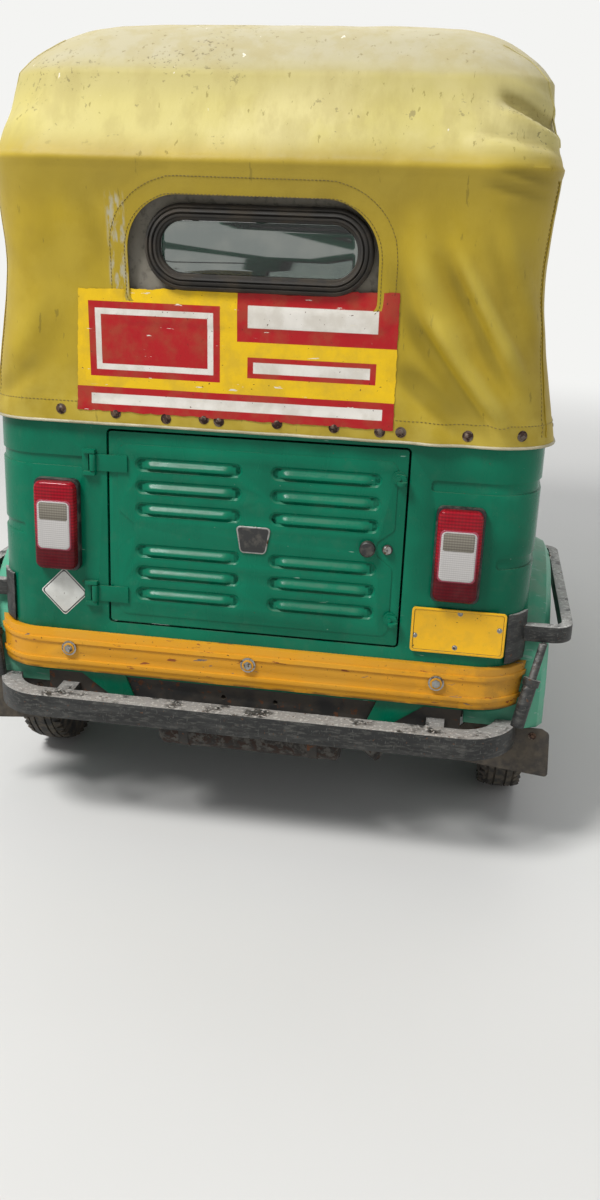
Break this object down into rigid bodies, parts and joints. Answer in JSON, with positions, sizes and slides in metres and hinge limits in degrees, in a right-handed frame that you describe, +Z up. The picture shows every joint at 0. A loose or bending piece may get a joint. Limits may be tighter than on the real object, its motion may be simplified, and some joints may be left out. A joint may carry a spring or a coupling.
{
  "type": "auto rickshaw",
  "caption": "Passenger auto rickshaw with a fabric hood, open doorways, bench seat, steered front wheel and a louvred rear engine door.",
  "frame": {"origin": "on the ground under the middle of the overall box", "axes": "+Y forwards along the vehicle, +X to its right, +Z up"},
  "size_m": [1.4, 2.72, 1.724],
  "materials": {
    "body_paint": "gloss, worn",
    "fender_paint": "gloss, scraped",
    "strip_paint": "satin, worn",
    "plate_paint": "satin",
    "guard_paint": "satin, worn to bare metal on top",
    "tube_paint": "satin",
    "rim_paint": "satin",
    "hood_vinyl": "coated fabric, sun faded on top",
    "seat_vinyl": "coated fabric",
    "panel_board": "matt",
    "flap_rubber": "matt",
    "black_plastic": "satin",
    "lamp_red": "gloss",
    "lamp_amber": "gloss",
    "lamp_clear": "gloss",
    "window_glass": "clear",
    "engine_metal": "cast",
    "silencer_steel": "rusty",
    "spring_steel": "dark",
    "tyre": "matt"
  },
  "bodies": {
    "body": {"rear_body": "body_paint", "bumper_strip": "strip_paint", "tail_lamps": "lamp_red", "number_plate": "plate_paint", "fenders": "fender_paint", "side_guards": "guard_paint", "rear_guard": "guard_paint", "mudflaps": "flap_rubber", "floor_pan": "body_paint", "passenger_seat_base": "body_paint", "engine_bulkhead": "body_paint", "passenger_seat": "seat_vinyl", "driver_bulkhead": "body_paint", "driver_seat": "seat_vinyl", "front_cowl": "body_paint", "headlamp": "lamp_clear", "front_indicators": "lamp_amber", "dashboard": "black_plastic", "windscreen_frame": "body_paint", "windscreen_glass": "window_glass", "wiper": "black_plastic", "mirrors": "black_plastic", "hood": "hood_vinyl", "hood_frame": "tube_paint", "window_panel": "panel_board", "window_rubber": "flap_rubber", "window_glass": "window_glass", "chassis": "tube_paint", "engine": "engine_metal", "silencer": "silencer_steel", "trailing_arms": "tube_paint", "dampers": "spring_steel"},
    "steering": {"front_mudguard": "fender_paint", "steering_column": "tube_paint", "front_link": "tube_paint", "front_damper": "spring_steel", "handlebar": "black_plastic"},
    "front_wheel": {"front_rim": "rim_paint", "front_tyre": "tyre"},
    "rear_wheel_left": {"rear_left_rim": "rim_paint", "rear_left_tyre": "tyre"},
    "rear_wheel_right": {"rear_right_rim": "rim_paint", "rear_right_tyre": "tyre"},
    "rear_door": {"rear_door": "body_paint", "door_lock": "black_plastic"}
  },
  "joints": [
    {"name": "rear_door_swing", "type": "hinge", "parent": "body", "child": "rear_door", "pos_m": [-0.355, -1.27574, 0.49049], "axis": [0, -0.0549, -0.9985], "range_deg": [0, 110]},
    {"name": "steering_turn", "type": "hinge", "parent": "body", "child": "steering", "pos_m": [0, 0.95005, 0.6], "axis": [0, -0.309, 0.9511], "range_deg": [-42, 42]},
    {"name": "front_wheel_spin", "type": "hinge", "parent": "steering", "child": "front_wheel", "pos_m": [0, 1.095, 0.205], "axis": [1, 0, 0], "continuous": true},
    {"name": "rear_left_spin", "type": "hinge", "parent": "body", "child": "rear_wheel_left", "pos_m": [-0.585, -0.905, 0.205], "axis": [1, 0, 0], "continuous": true},
    {"name": "rear_right_spin", "type": "hinge", "parent": "body", "child": "rear_wheel_right", "pos_m": [0.585, -0.905, 0.205], "axis": [1, 0, 0], "continuous": true}
  ]
}
